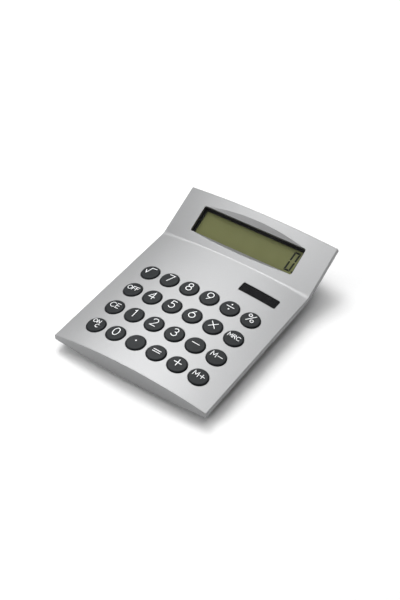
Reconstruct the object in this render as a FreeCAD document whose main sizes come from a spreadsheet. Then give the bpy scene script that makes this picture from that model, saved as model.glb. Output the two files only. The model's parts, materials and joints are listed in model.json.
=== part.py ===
import FreeCAD, Part
import Sketcher
import math
import os
import re
from FreeCAD import Placement, Rotation, Vector

# Desk calculator: a slim lens-shaped case, a display panel bent up at the back, and 24 round keys.
# Millimetres. Three frames are used:
#   keypad frame  X right, Y to the back, Z square to the keypad; zero at the middle of the key grid,
#                 on the crest of the crowned top.
#   panel frame   X right, Y up the display panel, Z square to it; zero on the crest at the crease.
#   table frame   the part's own frame: +Z up from the table, origin under the middle of the case.

# ---------------------------------------------------------------- driving dimensions
SIZES = (
    # case
    ("case_width", 103.0),
    ("keypad_front", 42.5),       # key grid's middle to the front face
    ("keypad_rear", 59.8),        # key grid's middle to the crease
    ("panel_length", 33.6),       # crease to the rear edge, along the panel
    ("panel_tilt", 24.5),         # panel against the keypad, degrees
    ("case_tilt", 2.35),          # keypad against the table, degrees
    ("crown_rise", 4.86),         # crest of the top above its side edges
    ("belly_drop", 3.5),          # lowest line of the underside below its side edges
    ("edge_thickness", 3.2),      # side edge
    ("crease_radius", 1.6),
    ("top_wall", 1.5),
    ("side_wall", 2.0),
    ("cover_wall", 1.3),
    ("rim_gap", 0.1),             # bottom cover inside the rim
    ("belly_clearance", 3.0),     # front of the belly above the table
    ("edge_round", 0.35),
    ("hole_round", 0.25),
    # base block under the belly
    ("base_width", 72.0),
    ("base_front", 10.5),         # behind the front face
    ("base_length", 86.0),
    ("base_clearance", 1.2),      # base above the table
    ("base_wall", 1.4),
    ("base_floor", 1.8),
    ("base_corner", 6.0),
    ("base_sink", 1.5),           # base block's top, before it is cut, below the crest
    ("foot_diameter", 8.0),
    ("foot_recess", 0.8),
    ("foot_gap", 0.1),
    ("foot_round", 0.3),
    ("foot_inset", 7.5),
    # keys
    ("pitch_across", 14.0),
    ("pitch_along", 17.0),
    ("key_diameter", 11.3),
    ("key_gap", 0.2),
    ("key_rise", 0.9),
    ("key_travel", 0.8),
    ("key_round", 0.75),
    ("key_skin", 1.8),
    ("key_wall", 0.9),
    ("plunger_diameter", 4.4),
    ("plunger_gap", 0.05),        # plunger above its dome
    ("tab_width", 4.0),
    ("tab_reach", 1.1),
    ("tab_thickness", 0.7),
    ("tab_gap", 0.1),
    # keypad board and key mat
    ("board_depth", 6.7),         # board's top below the crest
    ("board_thickness", 0.8),
    ("board_margin", 9.0),        # board's long edges inside the case's sides
    ("board_front", 8.5),         # board behind the front face
    ("board_rear", 6.8),          # board ahead of the crease
    ("mat_thickness", 0.4),
    ("mat_overlap", 7.0),         # mat beyond the outer keys' centres
    ("dome_height", 1.1),
    ("dome_diameter", 7.2),
    ("dome_taper", 2.0),
    ("dome_wall", 0.45),
    ("pill_diameter", 3.2),
    ("pill_thickness", 0.3),
    ("post_diameter", 4.4),
    ("post_gap", 0.4),            # mat's holes around the posts
    ("board_screw_diameter", 1.6),
    ("board_screw_grip", 2.6),
    ("board_screw_head", 3.4),
    ("board_screw_head_height", 0.8),
    # case screws
    ("screw_diameter", 2.0),
    ("screw_grip", 2.0),
    ("screw_head", 3.6),
    ("screw_head_height", 0.9),
    ("screw_sink", 0.2),
    ("screw_boss", 5.2),
    ("screw_clearance", 0.2),     # through holes wider than their screws
    ("sink_clearance", 0.3),      # sinks wider than their screw heads
    ("pilot_room", 0.2),          # pilot holes deeper than their screws
    ("cross_length", 0.6),        # cross recess, as a share of the screw's head
    ("cross_width", 0.4),
    ("screw_side_inset", 6.0),
    ("screw_front_inset", 5.2),
    ("screw_rear_inset", 5.2),    # ahead of the crease
    ("screw_panel_place", 19.0),  # up the panel
    ("cover_boss_height", 0.8),
    ("boss_gap", 0.02),           # cover's bosses below the shell's
    ("boss_skirt", 0.2),          # cover's bosses above the belly's outside
    # display
    ("window_width", 71.2),
    ("window_low", 6.7),          # up the panel from the crease
    ("window_high", 24.7),
    ("window_corner", 1.2),
    ("scoop_high_slope", 32.0),
    ("scoop_low_slope", 43.0),
    ("surround_depth", 4.4),      # back of the window's surround below the crest
    ("surround_margin", 2.6),
    ("bezel_gap", 0.05),
    ("bezel_lining", 0.45),
    ("bezel_rise", 0.3),          # bezel's rim into the window
    ("bezel_flange", 1.0),
    ("bezel_lip", 0.6),
    ("bezel_tray_wall", 1.1),
    ("bezel_tray_step", 0.2),     # tray's back ahead of the glass's back
    ("view_inset", 1.4),          # display's visible area inside the window: at its sides,
    ("view_low_inset", 1.05),     # its low edge
    ("view_high_inset", 1.4),     # and its high edge
    ("pane_thickness", 0.9),
    ("pane_gap", 0.1),
    ("glass_margin", 2.8),        # glass beyond the visible area: at its sides,
    ("glass_low_margin", 2.75),   # its low edge
    ("glass_high_margin", 2.7),   # and its high edge
    ("glass_thickness", 1.8),
    ("glass_gap", 0.1),
    ("reflector_thickness", 0.2),
    ("reflector_inset", 1.0),
    ("ribbon_width", 30.0),
    ("ribbon_thickness", 0.15),
    ("ribbon_grip", 3.0),
    ("ribbon_stand", 0.6),        # flat cable's run past the tray and onto the board
    # solar cell
    ("solar_place_across", 28.3),
    ("solar_place_along", 44.6),
    ("solar_width", 24.7),
    ("solar_length", 6.9),
    ("solar_corner", 0.9),
    ("solar_pane_thickness", 0.9),
    ("solar_pane_sink", 0.2),
    ("solar_pane_gap", 0.08),
    ("cell_width", 25.6),
    ("cell_length", 8.0),
    ("cell_thickness", 1.1),
    ("cell_gap", 0.1),
    ("wire_diameter", 0.8),
    ("wire_spacing", 8.0),
    ("wire_bend", 0.6),
    ("wire_forward", 6.0),
    ("wire_gap", 0.0187),
    # battery bay
    ("battery_diameter", 11.6),
    ("battery_height", 5.4),
    ("battery_step", 0.3),        # can's shoulder below its lid
    ("battery_lid_inset", 1.0),
    ("battery_gap", 0.2),
    ("battery_float", 0.1),       # battery above the door
    ("bay_inset", 10.0),          # battery's middle ahead of the base's rear face
    ("bay_wall", 1.1),
    ("bay_ring_height", 4.6),
    ("deck_thickness", 0.9),
    ("deck_margin", 2.0),
    ("deck_overlap", 0.2),        # deck into the base's rear wall
    ("door_width", 22.0),
    ("door_length", 20.0),
    ("door_gap", 0.15),
    ("rail_height", 0.5),
    ("rail_reach", 0.8),
    ("rail_gap", 0.08),
    ("rail_setback", 3.2),        # rails behind the door's front edge
    ("rail_stop_gap", 0.2),
    ("grip_width", 10.0),
    ("grip_length", 0.8),
    ("grip_depth", 0.4),
    ("grip_pitch", 1.6),
    ("grip_inset", 4.0),
    ("contact_thickness", 0.25),
    ("contact_width", 4.0),
    ("contact_gap", 0.02),
    ("leaf_root", 9.0),           # negative leaf: these four are places ahead of the battery's middle
    ("leaf_bend", 5.0),
    ("leaf_touch", 1.0),
    ("leaf_tail", 2.5),
    ("leaf_tail_rise", 0.5),
    ("blade_lift", 0.6),
    ("blade_foot", 2.5),
    ("blade_room", 0.6),
    # parts on the board
    ("glob_diameter", 13.0),
    ("glob_height", 1.4),
    ("capacitor_diameter", 3.0),
    ("capacitor_length", 5.0),
    ("capacitor_across", -30.0),
    ("capacitor_inset", 14.0),    # its front ahead of the board's rear edge
    ("capacitor_leg", 0.5),
    ("resistor_length", 2.0),
    ("resistor_width", 1.2),
    ("resistor_height", 0.6),
    # cutting tools
    ("overrun", 1.0),             # how far they run past what they cut
    ("long_overrun", 20.0),
)
RESISTOR_PLACES = ((-14, -12), (14, -6), (-14, 12), (14, 18))
GRIP_COUNT = 4

COLUMNS = 6
ROWS = 4
KEY_NAMES = (
    ("key_root", "key_7", "key_8", "key_9", "key_divide", "key_percent"),
    ("key_off", "key_4", "key_5", "key_6", "key_multiply", "key_memory_recall"),
    ("key_clear_entry", "key_1", "key_2", "key_3", "key_minus", "key_memory_minus"),
    ("key_on_clear", "key_0", "key_point", "key_equals", "key_plus", "key_memory_plus"),
)

doc = FreeCAD.newDocument("desk_calculator")
sheet = doc.addObject("Spreadsheet::Sheet", "Sizes")
for row, (alias, number) in enumerate(SIZES, start=1):
    sheet.set(f"A{row}", alias)
    sheet.set(f"B{row}", str(number))
    sheet.setAlias(f"B{row}", alias)
doc.recompute()

ALIAS = re.compile(r"\b(" + "|".join(alias for alias, _ in SIZES) + r")\b")


def sized(text):
    """The expression with each named size pointed at the sheet."""
    return ALIAS.sub(r"Sizes.\1", str(text))


def value(text):
    """What an expression of named sizes comes to."""
    return float(sheet.evalExpression(sized(text)))


def bind(thing, **expressions):
    """Bind properties to expressions of named sizes."""
    for name, text in expressions.items():
        thing.setExpression(name, sized(text))


# ---------------------------------------------------------------- derived sizes, as expressions
DEPTH = "(crown_rise + edge_thickness + belly_drop)"
HALF = "(case_width / 2)"
CROWN_RADIUS = f"(({HALF}^2 + crown_rise^2) / (2 * crown_rise))"
BELLY_RADIUS = f"(({HALF}^2 + belly_drop^2) / (2 * belly_drop))"
BOARD_BOTTOM = "(board_depth + board_thickness)"
MAT_TOP = "(board_depth - mat_thickness)"
DOME_TOP = f"({MAT_TOP} - dome_height)"
BELLY_INSIDE = f"({DEPTH} - cover_wall)"


def drop(radius, across):
    """How far an arc has fallen at a distance across from its crest."""
    return f"({radius} - sqrt({radius}^2 - ({across})^2))"


# How the case stands: the keypad frame is tipped back and lifted, and the box's middle is at Y = 0.
REAR_REACH = (
    f"((keypad_rear + panel_length * cos(panel_tilt) + {DEPTH} * sin(panel_tilt)) * cos(case_tilt)"
    f" - (panel_length * sin(panel_tilt) - {DEPTH} * cos(panel_tilt)) * sin(case_tilt))"
)
FRONT_REACH = "(keypad_front * cos(case_tilt))"
CASE_Y = f"(({FRONT_REACH} - {REAR_REACH}) / 2)"
CASE_Z = f"(belly_clearance + {DEPTH} * cos(case_tilt) + keypad_front * sin(case_tilt))"
ACROSS = Vector(1, 0, 0)
CASE = Placement(Vector(0, value(CASE_Y), value(CASE_Z)), Rotation(ACROSS, value("case_tilt")))
PANEL = Placement(Vector(0, value("keypad_rear"), 0), Rotation(ACROSS, value("panel_tilt")))
ON_PANEL = CASE.multiply(PANEL)
TABLE = Placement()

nodes = []


# ---------------------------------------------------------------- small builders
def place(thing, corner):
    """Put a primitive at a point given as three expressions."""
    for axis, text in zip("xyz", corner):
        thing.setExpression(f"Placement.Base.{axis}", sized(text))


def box(name, corner, lengths):
    thing = doc.addObject("Part::Box", name)
    bind(thing, Length=lengths[0], Width=lengths[1], Height=lengths[2])
    place(thing, corner)
    return thing


def centred_box(name, middle, width, length, low, high):
    """A box about a point in plan, between two heights."""
    corner = (f"{middle[0]} - ({width}) / 2", f"{middle[1]} - ({length}) / 2", low)
    return box(name, corner, (width, length, f"({high}) - ({low})"))


def rod(name, diameter, middle, low, high):
    """An upright cylinder about a point in plan, between two heights."""
    thing = doc.addObject("Part::Cylinder", name)
    bind(thing, Radius=f"({diameter}) / 2", Height=f"({high}) - ({low})")
    place(thing, (middle[0], middle[1], low))
    return thing


def cone(name, low_diameter, high_diameter, middle, low, high):
    thing = doc.addObject("Part::Cone", name)
    bind(thing, Radius1=f"({low_diameter}) / 2", Radius2=f"({high_diameter}) / 2")
    bind(thing, Height=f"({high}) - ({low})")
    place(thing, (middle[0], middle[1], low))
    return thing


def lengthwise_rod(name, radius, middle, front, rear):
    """A cylinder that lies along Y."""
    thing = doc.addObject("Part::Cylinder", name)
    thing.Placement = Placement(Vector(), Rotation(ACROSS, -90))
    bind(thing, Radius=radius, Height=f"({rear}) - ({front})")
    place(thing, (middle[0], front, middle[1]))
    return thing


def joined(name, things):
    thing = doc.addObject("Part::MultiFuse", name)
    thing.Shapes = things
    return thing


def gathered(name, things, placement=TABLE):
    """Separate solids kept together."""
    thing = doc.addObject("Part::Compound", name)
    thing.Links = things
    thing.Placement = placement
    return thing


def cut(name, base, tool):
    thing = doc.addObject("Part::Cut", name)
    thing.Base = base
    thing.Tool = tool
    return thing


def common(name, first, second):
    thing = doc.addObject("Part::Common", name)
    thing.Base = first
    thing.Tool = second
    return thing


def rounded(name, base, radius, wanted):
    """Round the edges that a test picks."""
    doc.recompute()
    thing = doc.addObject("Part::Fillet", name)
    thing.Base = base
    size = value(radius)
    thing.Edges = [(i, size, size) for i, edge in enumerate(base.Shape.Edges, start=1) if wanted(edge)]
    return thing


def upright(edge):
    """True for a straight edge along Z."""
    if not isinstance(edge.Curve, Part.Line):
        return False
    return abs(abs(edge.Curve.Direction.z) - 1) < 1e-6


def node(label, thing, placement):
    """Name a finished sub-part and put it in the table frame."""
    thing.Label = label
    thing.Placement = placement.multiply(thing.Placement)
    nodes.append(thing)
    return thing


def prism(name, outline, half_width):
    """A solid with a (Y, Z) outline of expressions, as wide as twice half_width."""
    points = [Vector(-value(half_width), value(y), value(z)) for y, z in outline]
    face = Part.Face(Part.makePolygon(points + points[:1]))
    thing = doc.addObject("Part::Feature", name)
    thing.Shape = face.extrude(Vector(2 * value(half_width), 0, 0))
    return thing


def bent_strip(name, route, thickness, width, middle="0"):
    """Thin sheet that follows a (Y, Z) route, bent square across; the route is its underside."""
    points = [Vector(0, value(y), value(z)) for y, z in route]
    size = value(thickness)
    runs = [(b - a).normalize() for a, b in zip(points, points[1:])]
    normals = [Vector(0, -run.z, run.y) for run in runs]
    upper = [points[0] + normals[0] * size]
    for point, before, after in zip(points[1:], normals, normals[1:]):
        mitre = before + after
        upper.append(point + mitre * (size / mitre.dot(before)))
    upper.append(points[-1] + normals[-1] * size)
    face = Part.Face(Part.makePolygon(points + upper[::-1] + points[:1]))
    face.translate(Vector(value(middle) - value(width) / 2, 0, 0))
    thing = doc.addObject("Part::Feature", name)
    thing.Shape = face.extrude(Vector(value(width), 0, 0))
    return thing


# ---------------------------------------------------------------- the bent lens
def origin_plane(body, role):
    return next(item for item in body.Origin.OriginFeatures if item.Role == role)


def sketch_on(body, name, role):
    sketch = body.newObject("Sketcher::SketchObject", name)
    sketch.AttachmentSupport = [(origin_plane(body, role), "")]
    sketch.MapMode = "FlatFace"
    return sketch


def constrain(sketch, *constraint, **expression):
    """Add a constraint, bound to an expression when one is given by name."""
    index = sketch.addConstraint(Sketcher.Constraint(*constraint))
    for name, text in expression.items():
        sketch.renameConstraint(index, name)
        sketch.setExpression(f"Constraints.{name}", sized(text))


def lens_profile(body, name, half_width, top, top_radius, bottom, bottom_radius, front):
    """Cross-section with a crowned top and a round belly, in a plane across the case."""
    half = value(half_width)
    high_radius = value(top_radius)
    low_radius = value(bottom_radius)
    high_centre = value(top) - high_radius
    low_centre = value(bottom) + low_radius
    high_angle = math.acos(half / high_radius)
    low_angle = math.acos(half / low_radius)
    high_side = high_centre + high_radius * math.sin(high_angle)
    low_side = low_centre - low_radius * math.sin(low_angle)

    sketch = sketch_on(body, name, "XZ_Plane")
    bind(sketch, **{"AttachmentOffset.Base.z": front})
    normal = Vector(0, 0, 1)
    crown = Part.Circle(Vector(0, high_centre, 0), normal, high_radius)
    belly = Part.Circle(Vector(0, low_centre, 0), normal, low_radius)
    sketch.addGeometry(Part.ArcOfCircle(crown, high_angle, math.pi - high_angle), False)
    sketch.addGeometry(Part.LineSegment(Vector(-half, high_side, 0), Vector(-half, low_side, 0)), False)
    sketch.addGeometry(Part.ArcOfCircle(belly, math.pi + low_angle, 2 * math.pi - low_angle), False)
    sketch.addGeometry(Part.LineSegment(Vector(half, low_side, 0), Vector(half, high_side, 0)), False)
    for first, second in ((0, 1), (1, 2), (2, 3), (3, 0)):
        constrain(sketch, "Coincident", first, 2, second, 1)
    constrain(sketch, "Vertical", 1)
    constrain(sketch, "Vertical", 3)
    constrain(sketch, "PointOnObject", 0, 3, -2)
    constrain(sketch, "PointOnObject", 2, 3, -2)
    constrain(sketch, "Radius", 0, high_radius, crown_radius=top_radius)
    constrain(sketch, "Radius", 2, low_radius, belly_radius=bottom_radius)
    constrain(sketch, "DistanceY", 0, 3, -1, 1, -high_centre, crown_centre=f"{top_radius} - ({top})")
    constrain(sketch, "DistanceY", -1, 1, 2, 3, low_centre, belly_centre=f"{bottom_radius} + ({bottom})")
    constrain(sketch, "DistanceX", -1, 1, 0, 1, half, right=half_width)
    constrain(sketch, "DistanceX", 0, 2, -1, 1, half, left=half_width)
    return sketch


def bent_spine(body, name, inset):
    """Side view of the crest: along the keypad, round the crease, up the panel."""
    tangent = "crease_radius * tan(panel_tilt / 2)"
    tilt = math.radians(value("panel_tilt"))
    radius = value("crease_radius")
    start = -value(f"keypad_front - ({inset})")
    bend = value(f"keypad_rear - {tangent}")
    rise = value(f"panel_length - ({inset}) - {tangent}")

    sketch = sketch_on(body, name, "YZ_Plane")
    arc = Part.Circle(Vector(bend, radius, 0), Vector(0, 0, 1), radius)
    arc = Part.ArcOfCircle(arc, -math.pi / 2, -math.pi / 2 + tilt)
    leave = arc.EndPoint
    end = leave + Vector(math.cos(tilt), math.sin(tilt), 0) * rise
    sketch.addGeometry(Part.LineSegment(Vector(start, 0, 0), Vector(bend, 0, 0)), False)
    sketch.addGeometry(arc, False)
    sketch.addGeometry(Part.LineSegment(leave, end), False)
    constrain(sketch, "PointOnObject", 0, 1, -1)
    constrain(sketch, "Horizontal", 0)
    constrain(sketch, "DistanceX", 0, 1, -1, 1, -start, front=f"keypad_front - ({inset})")
    constrain(sketch, "DistanceX", -1, 1, 0, 2, bend, crease=f"keypad_rear - {tangent}")
    constrain(sketch, "Tangent", 0, 2, 1, 1)
    constrain(sketch, "Radius", 1, radius, bend_radius="crease_radius")
    constrain(sketch, "Tangent", 1, 2, 2, 1)
    constrain(sketch, "Angle", 2, tilt, tilt="panel_tilt")
    constrain(sketch, "Distance", 2, rise, slope=f"panel_length - ({inset}) - {tangent}")
    return sketch


def bent_slab(name, half_width, top, top_radius, bottom, bottom_radius, inset):
    """The lens section swept along the bent spine, short of both ends by the inset."""
    body = doc.addObject("PartDesign::Body", name)
    front = f"keypad_front - ({inset})"
    profile = lens_profile(body, f"{name}_profile", half_width, top, top_radius, bottom, bottom_radius, front)
    spine = bent_spine(body, f"{name}_spine", inset)
    doc.recompute()
    pipe = body.newObject("PartDesign::AdditivePipe", f"{name}_sweep")
    pipe.Profile = profile
    pipe.Spine = (spine, ["Edge1", "Edge2", "Edge3"])
    doc.recompute()
    return body


# ---------------------------------------------------------------- places that repeat
def key_middle(column, row):
    across = f"({column - (COLUMNS - 1) / 2} * pitch_across)"
    along = f"({(ROWS - 1) / 2 - row} * pitch_along)"
    return across, along


KEY_PLACES = [(column, row) for row in range(ROWS) for column in range(COLUMNS)]
POST_MIDDLES = [(f"({a} * pitch_across)", f"({b} * pitch_along)") for a in (-2, 0, 2) for b in (-1, 1)]
SCREW_X = f"({HALF} - screw_side_inset)"
SCREW_FRONT = "(screw_front_inset - keypad_front)"
SCREW_REAR = "(keypad_rear - screw_rear_inset)"
KEYPAD_SCREWS = [(f"({side} * {SCREW_X})", along) for side in (-1, 1) for along in (SCREW_FRONT, SCREW_REAR)]
PANEL_SCREWS = [(f"({side} * {SCREW_X})", "screw_panel_place") for side in (-1, 1)]
WINDOW_MIDDLE = ("0", "((window_low + window_high) / 2)")
WINDOW_LENGTH = "(window_high - window_low)"
WINDOW_STRAIGHT = "(window_width / 2 - window_corner)"
WINDOW_LEVEL = f"(-{drop(CROWN_RADIUS, WINDOW_STRAIGHT)})"
SOLAR_MIDDLE = ("solar_place_across", "solar_place_along")


# ---------------------------------------------------------------- top shell
def rounded_block(name, middle, width, length, low, high, corner):
    block = centred_box(f"{name}_block", middle, width, length, low, high)
    return rounded(name, block, corner, upright)


def scoop(name, edge, level, slope, side):
    """A wedge that slopes from the window's straight edge up to the crowned surface."""
    reach = f"(crown_rise / tan({slope}))"
    outline = [
        (f"{edge} - {side} * 0.01", level),
        (f"{edge} + {side} * {reach}", f"{level} + crown_rise"),
        (f"{edge} - {side} * 0.01", f"{level} + crown_rise"),
    ]
    return prism(name, outline, WINDOW_STRAIGHT)


BEND_START = "(keypad_rear - crease_radius * tan(panel_tilt / 2))"


def surface_gap(point):
    """How far a point of the shell lies from the crowned surface."""
    radius = value("crease_radius")
    from_axis = point - Vector(point.x, value(BEND_START), radius)
    on_panel = PANEL.inverse().multVec(point)
    if from_axis.y <= 0:
        level = point.z
    elif on_panel.y >= value("crease_radius * tan(panel_tilt / 2)"):
        level = on_panel.z
    else:
        level = radius - from_axis.Length
    crown = value(CROWN_RADIUS)
    return abs(level + crown - math.sqrt(crown ** 2 - point.x ** 2))


def samples(edge):
    first, last = edge.ParameterRange
    return [edge.valueAt(first + (last - first) * share) for share in (0.02, 0.35, 0.65, 0.98)]


def is_on_crown(edge):
    return all(surface_gap(point) < 1e-3 for point in samples(edge))


def is_at_bend(edge):
    """True for the seams across the case where the bend starts and ends."""
    start = value(BEND_START)
    end = value("crease_radius * tan(panel_tilt / 2)")
    points = samples(edge)
    at_start = all(abs(point.y - start) < 1e-3 for point in points)
    at_end = all(abs(PANEL.inverse().multVec(point).y - end) < 1e-3 for point in points)
    return at_start or at_end


def is_rim_point(point):
    half = value(HALF)
    on_panel = PANEL.inverse().multVec(point)
    at_side = abs(abs(point.x) - half) < 1e-3
    at_front = abs(point.y + value("keypad_front")) < 1e-3
    return at_side or at_front or abs(on_panel.y - value("panel_length")) < 1e-3


def is_inside_rim(point):
    """True for a point of the top that is clear of the rounded rim."""
    margin = 2 * value("edge_round")
    on_panel = PANEL.inverse().multVec(point)
    clear_of_sides = abs(point.x) < value(HALF) - margin
    return clear_of_sides and on_panel.y < value("panel_length") - margin


def is_outer_edge(edge):
    return is_on_crown(edge) and all(is_rim_point(point) for point in samples(edge))


def is_opening_edge(edge):
    """True for the rims of the key holes and the solar cell's opening."""
    if not is_on_crown(edge) or is_at_bend(edge):
        return False
    points = samples(edge)
    front = value("2 * edge_round - keypad_front")
    in_keypad = all(front < point.y < value(BEND_START) for point in points)
    return in_keypad and all(is_inside_rim(point) for point in points)


def is_window_edge(edge):
    """True for the rim of the display window and its two scoops."""
    if not is_on_crown(edge) or is_at_bend(edge):
        return False
    points = samples(edge)
    on_panel = all(PANEL.inverse().multVec(point).y > 1 for point in points)
    return on_panel and all(is_inside_rim(point) for point in points)


def make_top_shell():
    blank = bent_slab("shell_blank", HALF, "0", CROWN_RADIUS, f"-{DEPTH}", BELLY_RADIUS, "0")
    hollow = bent_slab(
        "shell_hollow", f"({HALF} - side_wall)", "-top_wall", f"({CROWN_RADIUS} - top_wall)",
        f"-{DEPTH} - long_overrun", BELLY_RADIUS, "side_wall")
    skin = cut("shell_skin", blank, hollow)

    posts = [rod("board_post", "post_diameter", middle, "-board_depth", "0") for middle in POST_MIDDLES]
    seat = f"(-{DEPTH} + cover_wall + cover_boss_height + {drop(BELLY_RADIUS, SCREW_X)})"
    bosses = [rod("screw_boss", "screw_boss", middle, seat, "0") for middle in KEYPAD_SCREWS]
    panel_bosses = [rod("panel_boss", "screw_boss", middle, seat, "0") for middle in PANEL_SCREWS]
    surround = rounded_block(
        "surround", WINDOW_MIDDLE, "window_width + 2 * surround_margin",
        f"{WINDOW_LENGTH} + 4 * surround_margin", "-surround_depth", "0", "window_corner")
    on_panel = gathered("panel_additions", [joined("surround_and_bosses", [surround] + panel_bosses)], PANEL)
    additions = joined("shell_additions", posts + bosses + [on_panel])
    inside = common("shell_ribs", additions, blank)
    full = joined("shell_full", [skin, inside])

    holes = [
        rod("key_hole", "key_diameter + 2 * key_gap", key_middle(*spot), "-board_depth", "overrun")
        for spot in KEY_PLACES
    ]
    holes.append(rounded_block(
        "solar_opening", SOLAR_MIDDLE, "solar_width", "solar_length", f"-{DEPTH} / 2", "overrun",
        "solar_corner"))
    pilot_top = f"({seat} + screw_grip + pilot_room)"
    pilots = [rod("pilot", "screw_diameter", middle, f"-{DEPTH}", pilot_top) for middle in KEYPAD_SCREWS]
    board_top = "(-board_depth + board_screw_grip + pilot_room)"
    pilots += [
        rod("post_pilot", "board_screw_diameter", middle, "-board_depth - overrun", board_top)
        for middle in POST_MIDDLES
    ]
    panel_pilots = [
        rod("panel_pilot", "screw_diameter", middle, f"-{DEPTH}", pilot_top) for middle in PANEL_SCREWS
    ]
    opening = rounded_block(
        "window_opening", WINDOW_MIDDLE, "window_width", WINDOW_LENGTH, f"-{DEPTH} / 2", "overrun",
        "window_corner")
    high_scoop = scoop("high_scoop", "window_high", WINDOW_LEVEL, "scoop_high_slope", 1)
    low_scoop = scoop("low_scoop", "window_low", WINDOW_LEVEL, "scoop_low_slope", -1)
    panel_cuts = joined("panel_cuts", [opening, high_scoop, low_scoop] + panel_pilots)
    panel_tools = gathered("panel_tools", [panel_cuts], PANEL)
    shell = cut("shell_cut", full, joined("shell_tools", holes + pilots + [panel_tools]))
    eased_rim = rounded("shell_rim", shell, "edge_round", is_outer_edge)
    eased_holes = rounded("shell_holes", eased_rim, "hole_round", is_opening_edge)
    eased_window = rounded("shell_window", eased_holes, "hole_round", is_window_edge)
    node("top_shell", eased_window, CASE)


# ---------------------------------------------------------------- bottom cover
BASE_MIDDLE = ("0", f"({CASE_Y} - {FRONT_REACH} + base_front + base_length / 2)")
BASE_REAR = f"({BASE_MIDDLE[1]} + base_length / 2)"
BAY_MIDDLE = ("0", f"({BASE_REAR} - bay_inset)")
FLOOR_TOP = "(base_clearance + base_floor)"
DECK_TOP = f"({FLOOR_TOP} + deck_thickness)"
FEET = [
    (
        f"({side} * (base_width / 2 - foot_inset))",
        f"({BASE_MIDDLE[1]} + {end} * (base_length / 2 - foot_inset))",
    )
    for side in (-1, 1)
    for end in (-1, 1)
]
RAIL_LOW = "(base_clearance + (base_floor - rail_height) / 2)"
DOOR_FRONT = f"({BASE_REAR} - door_length)"
BOSS_LOW = f"(-{DEPTH} + {drop(BELLY_RADIUS, SCREW_X)})"
BOSS_HIGH = f"({BOSS_LOW} + cover_wall + cover_boss_height - boss_gap)"
SINK_TOP = f"({BOSS_LOW} + screw_sink + screw_head_height)"


def rim_space(name):
    """The lens inside the shell's rim, with the cover's clearance all round."""
    return bent_slab(
        name, f"({HALF} - side_wall - rim_gap)", "0", CROWN_RADIUS, f"-{DEPTH}", BELLY_RADIUS,
        "side_wall + rim_gap")


def make_cover_plate():
    """The belly and the base block under it, open inside."""
    lens = rim_space("cover_lens")
    room = bent_slab(
        "cover_room", f"({HALF} + 5 * overrun)", "crease_radius * 0.75", CROWN_RADIUS,
        f"-{DEPTH} + cover_wall", f"({BELLY_RADIUS} - cover_wall)", "-2 * overrun")
    for body in (lens, room):
        body.Placement = CASE
    base_top = f"(belly_clearance + {DEPTH} - base_sink)"
    block = rounded_block(
        "base_block", BASE_MIDDLE, "base_width", "base_length", "base_clearance", base_top, "base_corner")
    plate = cut("cover_plate", joined("cover_solid", [lens, block]), room)
    hollow = rounded_block(
        "base_hollow", BASE_MIDDLE, "base_width - 2 * base_wall", "base_length - 2 * base_wall",
        FLOOR_TOP, f"{base_top} + long_overrun", "base_corner - base_wall")
    return cut("open_cover", plate, hollow)


def make_battery_bay():
    """A deck over the door with a ring that holds the battery."""
    rear_inside = f"({BASE_REAR} - base_wall)"
    deck_front = f"({DOOR_FRONT} - deck_margin)"
    deck = box(
        "bay_deck", ("-(door_width / 2 + deck_margin)", deck_front, FLOOR_TOP),
        ("door_width + 2 * deck_margin", f"{rear_inside} + deck_overlap - {deck_front}", "deck_thickness"))
    outside = "battery_diameter + 2 * battery_gap + 2 * bay_wall"
    return [deck, rod("bay_ring", outside, BAY_MIDDLE, FLOOR_TOP, f"{DECK_TOP} + bay_ring_height")]


def make_cover_bosses():
    bottom = f"({BOSS_LOW} + boss_skirt)"
    bosses = [rod("cover_boss", "screw_boss", middle, bottom, BOSS_HIGH) for middle in KEYPAD_SCREWS]
    on_panel = [rod("cover_panel_boss", "screw_boss", middle, bottom, BOSS_HIGH) for middle in PANEL_SCREWS]
    everything = joined("cover_bosses", bosses + [gathered("cover_panel_bosses", on_panel, PANEL)])
    trimmed = common("cover_bosses_trimmed", everything, rim_space("boss_space"))
    trimmed.Placement = CASE
    return trimmed


def screw_hole(name, middle):
    """A through hole with a sink for the head, from below."""
    low = f"-{DEPTH} - overrun"
    shaft = rod(f"{name}_shaft", "screw_diameter + screw_clearance", middle, low, f"{BOSS_HIGH} + overrun")
    return joined(name, [shaft, rod(f"{name}_sink", "screw_head + sink_clearance", middle, low, SINK_TOP)])


def make_cover_tools():
    keypad_holes = [screw_hole("cover_screw", middle) for middle in KEYPAD_SCREWS]
    panel_holes = [screw_hole("cover_panel_screw", middle) for middle in PANEL_SCREWS]
    on_panel = gathered("panel_screw_tools", panel_holes, PANEL)
    tools = [gathered("cover_screw_tools", keypad_holes + [on_panel], CASE)]
    for spot in FEET:
        tools.append(rod(
            "foot_seat", "foot_diameter + 2 * foot_gap", spot, "0", "base_clearance + foot_recess"))
    tools.append(rod("bay_bore", "battery_diameter + 2 * battery_gap", BAY_MIDDLE, "0", "long_overrun"))
    tools.append(box(
        "door_opening", ("-door_width / 2 - door_gap", f"{DOOR_FRONT} - door_gap", "0"),
        ("door_width + 2 * door_gap", "door_length + long_overrun", FLOOR_TOP)))
    groove_half = "(door_width / 2 + rail_reach + door_gap)"
    groove_front = f"({DOOR_FRONT} + rail_setback - rail_stop_gap)"
    tools.append(box(
        "rail_grooves", (f"-{groove_half}", groove_front, f"{RAIL_LOW} - rail_gap"),
        (f"2 * {groove_half}", "door_length + long_overrun", "rail_height + 2 * rail_gap")))
    tools.append(box(
        "blade_slot",
        ("battery_diameter / 2 - overrun", f"{BAY_MIDDLE[1]} - contact_width / 2 - blade_room", DECK_TOP),
        ("bay_wall + 3 * overrun", "contact_width + 2 * blade_room", "bay_ring_height + overrun")))
    return joined("cover_tools", tools)


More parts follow.
